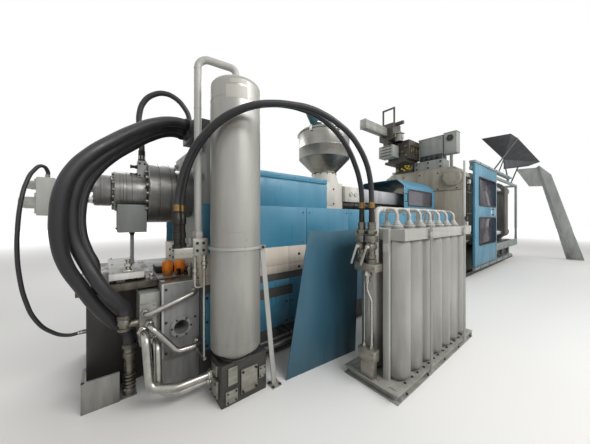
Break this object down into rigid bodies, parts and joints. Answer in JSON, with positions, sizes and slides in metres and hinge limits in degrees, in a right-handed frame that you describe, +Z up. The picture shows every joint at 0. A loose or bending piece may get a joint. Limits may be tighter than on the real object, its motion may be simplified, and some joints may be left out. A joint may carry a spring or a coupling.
{
  "type": "injection moulding machine",
  "caption": "Large horizontal injection moulding machine with sliding guard door, hopper, flanged injection drive, gas accumulator and a bottle rack.",
  "frame": {"origin": "on the floor, under the injection axis, at the fixed platen's mould face", "axes": "+X along the machine from the injection end to the clamp end, -Y towards the operator, +Z up"},
  "size_m": [14.1364, 3.8395, 4.5],
  "materials": {
    "bed_paint": "satin",
    "platen_paint": "satin",
    "ground_steel": "polished",
    "nut_paint": "satin",
    "blue_paint": "gloss",
    "dark_blue_paint": "satin",
    "frame_paint": "satin",
    "dark_sheet": "matte",
    "grey_sheet": "satin",
    "light_paint": "satin",
    "cream_paint": "satin",
    "machined_steel": "machined",
    "stainless": "brushed",
    "pipe_steel": "polished",
    "orange_plastic": "satin",
    "white_paint": "gloss",
    "window_tint": "gloss",
    "hose_rubber": "satin"
  },
  "bodies": {
    "machine": {"clamp_base": "bed_paint", "fixed_platen": "platen_paint", "tie_bars": "ground_steel", "tie_bar_nuts": "nut_paint", "cylinder_platen": "platen_paint", "clamp_cylinder": "blue_paint", "guard_frame": "frame_paint", "rear_guard": "blue_paint", "hood": "dark_sheet", "chute": "grey_sheet", "platen_top_units": "grey_sheet", "picker_base": "dark_sheet", "injection_base": "bed_paint", "lower_panels": "blue_paint", "base_ledge": "cream_paint", "upper_guards": "blue_paint", "injection_cover": "blue_paint", "feed_housing": "light_paint", "hopper": "stainless", "hopper_loader": "dark_blue_paint", "barrel": "machined_steel", "heater_jackets": "stainless", "cable_trays": "dark_sheet", "injection_cylinder": "machined_steel", "drive_end": "light_paint", "top_valve_block": "light_paint", "junction_box": "grey_sheet", "hose_manifold": "dark_sheet", "tray_plate": "grey_sheet", "orange_caps": "orange_plastic", "end_box": "grey_sheet", "tube_manifold": "machined_steel", "bent_tubes": "pipe_steel", "drip_sheet": "grey_sheet", "hose_feet": "machined_steel", "accumulator": "frame_paint", "accumulator_leg": "frame_paint", "accumulator_block": "machined_steel", "gas_pipe": "pipe_steel", "gas_valve_block": "light_paint", "rack_frame": "frame_paint", "bottles": "frame_paint", "bottle_header": "pipe_steel", "rack_valves": "light_paint", "loose_guard": "dark_blue_paint", "gas_hose_a": "hose_rubber", "gas_hose_b": "hose_rubber", "drive_hose_a": "hose_rubber", "drive_hose_b": "hose_rubber", "drive_hose_c": "hose_rubber", "u_hose": "hose_rubber", "loop_hose": "hose_rubber"},
    "clamp": {"moving_platen": "platen_paint", "clamp_ram": "ground_steel"},
    "door": {"operator_door": "blue_paint", "door_windows": "window_tint"},
    "nozzle_guard": {"purge_guard": "blue_paint"},
    "lever_a": {"valve_lever_a": "white_paint"},
    "lever_b": {"valve_lever_b": "white_paint"},
    "picker": {"picker_beam": "light_paint"}
  },
  "joints": [
    {"name": "clamp_stroke", "type": "slide", "parent": "machine", "child": "clamp", "axis": [1, 0, 0], "range_m": [0, 1.2]},
    {"name": "door_slide", "type": "slide", "parent": "machine", "child": "door", "axis": [1, 0, 0], "range_m": [0, 1.9]},
    {"name": "nozzle_guard_slide", "type": "slide", "parent": "machine", "child": "nozzle_guard", "axis": [1, 0, 0], "range_m": [-0.7, 0]},
    {"name": "picker_reach", "type": "slide", "parent": "machine", "child": "picker", "axis": [-1, 0, 0], "range_m": [0, 0.5]},
    {"name": "lever_a_turn", "type": "hinge", "parent": "machine", "child": "lever_a", "pos_m": [-5.4535, -1.63, 1.25], "axis": [1, 0, 0], "range_deg": [0, 90]},
    {"name": "lever_b_turn", "type": "hinge", "parent": "machine", "child": "lever_b", "pos_m": [-5.4535, -1.735, 1.25], "axis": [-1, 0, 0], "range_deg": [0, 90]}
  ]
}
